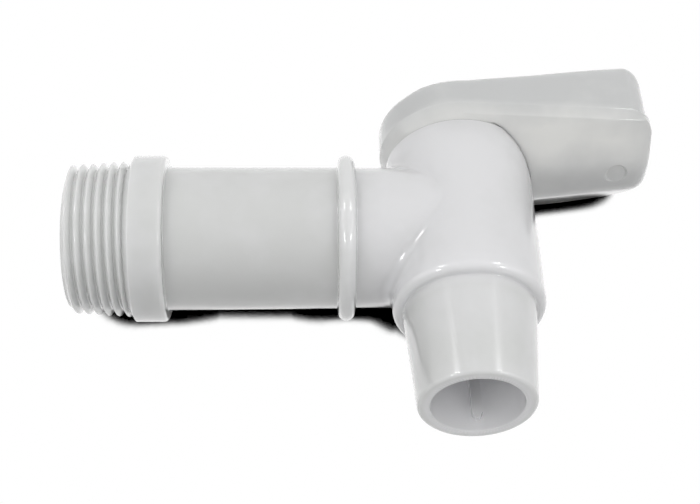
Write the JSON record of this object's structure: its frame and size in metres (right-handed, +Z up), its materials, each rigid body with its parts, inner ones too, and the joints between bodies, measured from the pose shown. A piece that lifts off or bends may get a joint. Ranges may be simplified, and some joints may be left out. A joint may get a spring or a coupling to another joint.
{
  "type": "plastic spigot",
  "caption": "Small moulded barrel tap: tapered threaded inlet, tube shank with a bead ring, upright barrel, tapered spout and a hull-shaped turning lever.",
  "frame": {"origin": "On the inlet axis, in the plane where the thread meets the collar.", "axes": "+X runs along the shank from the thread to the barrel, +Z up the barrel to the lever, so the spout points down -Z. At rest the lever points along +X and the tap is open."},
  "size_m": [0.1067, 0.03, 0.0674],
  "materials": {
    "body_polyethylene": "translucent natural polyethylene, satin as moulded",
    "lever_polyethylene": "translucent natural polyethylene, satin as moulded",
    "seal_silicone": "clear silicone rubber"
  },
  "bodies": {
    "tap_body": {"body": "body_polyethylene"},
    "tap_plug": {"plug_lever": "lever_polyethylene", "plug_seal_ring": "seal_silicone"}
  },
  "joints": [
    {"name": "plug_turn", "type": "hinge", "parent": "tap_body", "child": "tap_plug", "pos_m": [0.0602, 0, 0], "axis": [0, 0, 1], "range_deg": [-90, 90]}
  ]
}
